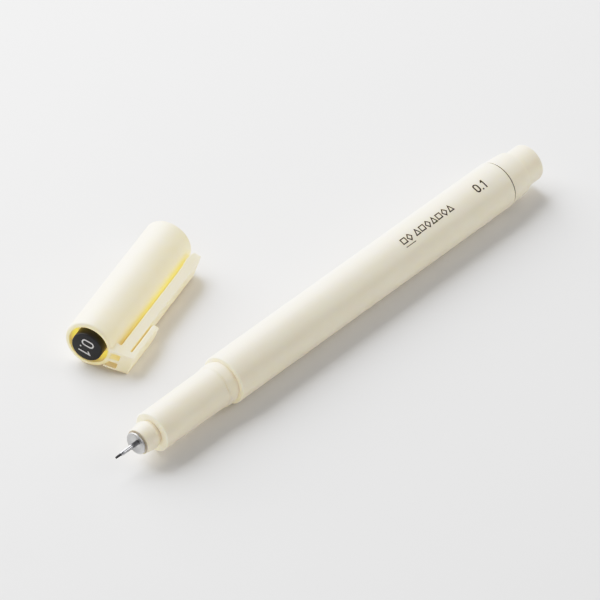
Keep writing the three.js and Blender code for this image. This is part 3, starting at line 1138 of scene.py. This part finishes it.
def number_strokes(start, low, height, weight, spread):
    """The number 0.1, from its left edge and its baseline."""
    digit = 0.5 * height
    point = start + digit + 0.30 * height * spread
    one = point + 0.40 * height * spread
    ring = zero(digit - weight / 4, height - weight)
    flag = [(-0.23 * height, 0.72 * height), (0, 0.93 * height)]
    return [
        (shifted(ring, start + weight / 2, low + weight / 2), weight, True),
        (shifted([(0, 0), (0, weight)], point, low), weight, False),
        (shifted([(0, 0), (0, height)], one, low), weight, False),
        (shifted(flag, one, low), weight * 0.9, False),
    ]


def degrees_up(angle):
    """The way up the barrel's side to an angle, from its widest line."""
    return BODY_RADIUS * math.radians(angle)


NUMBER_START = 110.2
NUMBER_LOW = degrees_up(59.4)
NUMBER_HEIGHT = degrees_up(83.2) - NUMBER_LOW
number = number_strokes(NUMBER_START, NUMBER_LOW, NUMBER_HEIGHT, weight=0.36, spread=1.15)
print_object("barrel_number", number, on_barrel, PEN, brown_print, "pen", "cream_plastic")

# A row of small outlined shapes, the first two with a line under them.
MARKS_START = 86.5
MARKS_PITCH = 1.78
MARKS_GAP = 0.55
MARKS_LOW = degrees_up(61.5)
MARKS_HEIGHT = degrees_up(79.0) - MARKS_LOW
MARK_WIDTH = 1.28
MARK_WEIGHT = 0.27
LINE_UP = degrees_up(54.6)
LINE_WEIGHT = 0.16
# Each shape's corners, as shares of a mark's width and height.
SHAPES = {
    "square": [(0, 0.12), (1, 0.12), (1, 0.88), (0, 0.88)],
    "diamond": [(0.5, 0), (1, 0.5), (0.5, 1), (0, 0.5)],
    "triangle": [(0, 0.08), (1, 0.08), (0.5, 0.96)],
}
ROW = ("square", "diamond", "triangle") * 3


def mark_strokes():
    """The row of shapes and the line."""
    strokes = []
    for index, shape in enumerate(ROW):
        start = MARKS_START + index * MARKS_PITCH + (MARKS_GAP if index > 1 else 0)
        corners = [(x * MARK_WIDTH, y * MARKS_HEIGHT) for x, y in SHAPES[shape]]
        strokes.append((shifted(corners, start, MARKS_LOW), MARK_WEIGHT, True))
    line = [(0, 0), (MARKS_PITCH + MARK_WIDTH, 0)]
    strokes.append((shifted(line, MARKS_START, LINE_UP), LINE_WEIGHT, False))
    return strokes


print_object("barrel_marks", mark_strokes(), on_barrel, PEN, brown_print, "pen",
             "cream_plastic")

PLUG_NUMBER_START = -1.95
PLUG_NUMBER_HEIGHT = 2.9
number = number_strokes(PLUG_NUMBER_START, -PLUG_NUMBER_HEIGHT / 2, PLUG_NUMBER_HEIGHT,
                        weight=0.32, spread=1.0)
print_object("plug_number", number, on_plug, CLIP, pale_print, "cap", "black_plastic")

# ---------------------------------------------------------------- floor, light and camera
# From here on lengths are metres.

FLOOR_SIZE = 6.0
CAMERA_TARGET = Vector((0.00239, -0.00947, 0))
CAMERA_AHEAD = Vector((0.7465, 0.6654, 0)).normalized()
CAMERA_ELEVATION = math.radians(39.5)
CAMERA_DISTANCE = 1.3
SENSOR_WIDTH = 36           # the sensor and the lens are in millimetres
LENS = 369.7
BRIGHTEST = 2.0             # scene light that shows as white
# Pairs of scene light and what it shows as: even in the darks, then a soft roll-off.
SHOULDER = ((0.2, 0.2), (0.4, 0.4), (0.6, 0.6), (0.7, 0.675), (0.86, 0.765), (1.0, 0.82),
            (1.1, 0.855), (1.2, 0.885), (1.5, 0.94))


def make_floor():
    """A pale matt board, under the part and far out to every side."""
    bpy.ops.mesh.primitive_plane_add(size=FLOOR_SIZE)
    floor = bpy.context.object
    floor.name = "floor"
    look = Look("floor_board")
    mottle = look.noise(14, 3)
    look.colour(look.mixed(mottle, srgb(236, 236, 236), srgb(238, 238, 238)))
    look.roughness(look.spread(look.noise(60, 3), 0.6, 0.72))
    look.bump(look.noise(1800, 3), 0.06, 0.05 * MM)
    floor.data.materials.append(look.material)


def make_light(name, azimuth, elevation, distance, size, power):
    """A square soft light that points at the origin. Azimuth 0 is +X and 90 is +Y."""
    data = bpy.data.lights.new(name, "AREA")
    data.shape = "SQUARE"
    data.size = size
    data.energy = power
    light = bpy.data.objects.new(name, data)
    around, up = math.radians(azimuth), math.radians(elevation)
    toward = Vector((math.cos(around) * math.cos(up), math.sin(around) * math.cos(up),
                     math.sin(up)))
    light.location = toward * distance
    light.rotation_euler = toward.to_track_quat("Z", "Y").to_euler()
    bpy.context.scene.collection.objects.link(light)


def make_world(horizon, overhead):
    """An even studio, lighter at the horizon than overhead."""
    world = bpy.data.worlds.new("studio")
    world.use_nodes = True
    nodes, links = world.node_tree.nodes, world.node_tree.links
    direction = nodes.new("ShaderNodeTexCoord")
    height = nodes.new("ShaderNodeSeparateXYZ")
    links.new(direction.outputs["Generated"], height.inputs["Vector"])
    strength = nodes.new("ShaderNodeMapRange")
    strength.inputs["To Min"].default_value = horizon
    strength.inputs["To Max"].default_value = overhead
    links.new(height.outputs["Z"], strength.inputs["Value"])
    links.new(strength.outputs["Result"], nodes["Background"].inputs["Strength"])
    nodes["Background"].inputs["Color"].default_value = (1, 1, 1, 1)
    bpy.context.scene.world = world


def make_camera():
    """The photograph's view, from above the pen's nib end."""
    down = Vector((0, 0, -math.sin(CAMERA_ELEVATION)))
    sight = CAMERA_AHEAD * math.cos(CAMERA_ELEVATION) + down
    data = bpy.data.cameras.new("camera")
    data.sensor_width = SENSOR_WIDTH
    data.lens = LENS
    data.clip_start = 0.05
    data.clip_end = 20
    camera = bpy.data.objects.new("camera", data)
    camera.location = CAMERA_TARGET - sight * CAMERA_DISTANCE
    camera.rotation_euler = sight.to_track_quat("-Z", "Y").to_euler()
    bpy.context.scene.collection.objects.link(camera)
    bpy.context.scene.camera = camera


def make_view():
    """A plain view with a soft shoulder, as a camera rolls off its highlights."""
    settings = bpy.context.scene.view_settings
    settings.view_transform = "Standard"
    settings.use_curve_mapping = True
    mapping = settings.curve_mapping
    mapping.white_level = (BRIGHTEST, BRIGHTEST, BRIGHTEST)
    all_channels = mapping.curves[3]
    for light, shown in SHOULDER:
        all_channels.points.new(light / BRIGHTEST, shown)
    mapping.update()


make_floor()
make_light("window", azimuth=86, elevation=39, distance=0.78, size=0.92, power=11.2)
make_light("fill", azimuth=-42, elevation=38, distance=1.0, size=0.36, power=1.3)
make_world(horizon=0.44, overhead=0.27)
make_camera()
make_view()
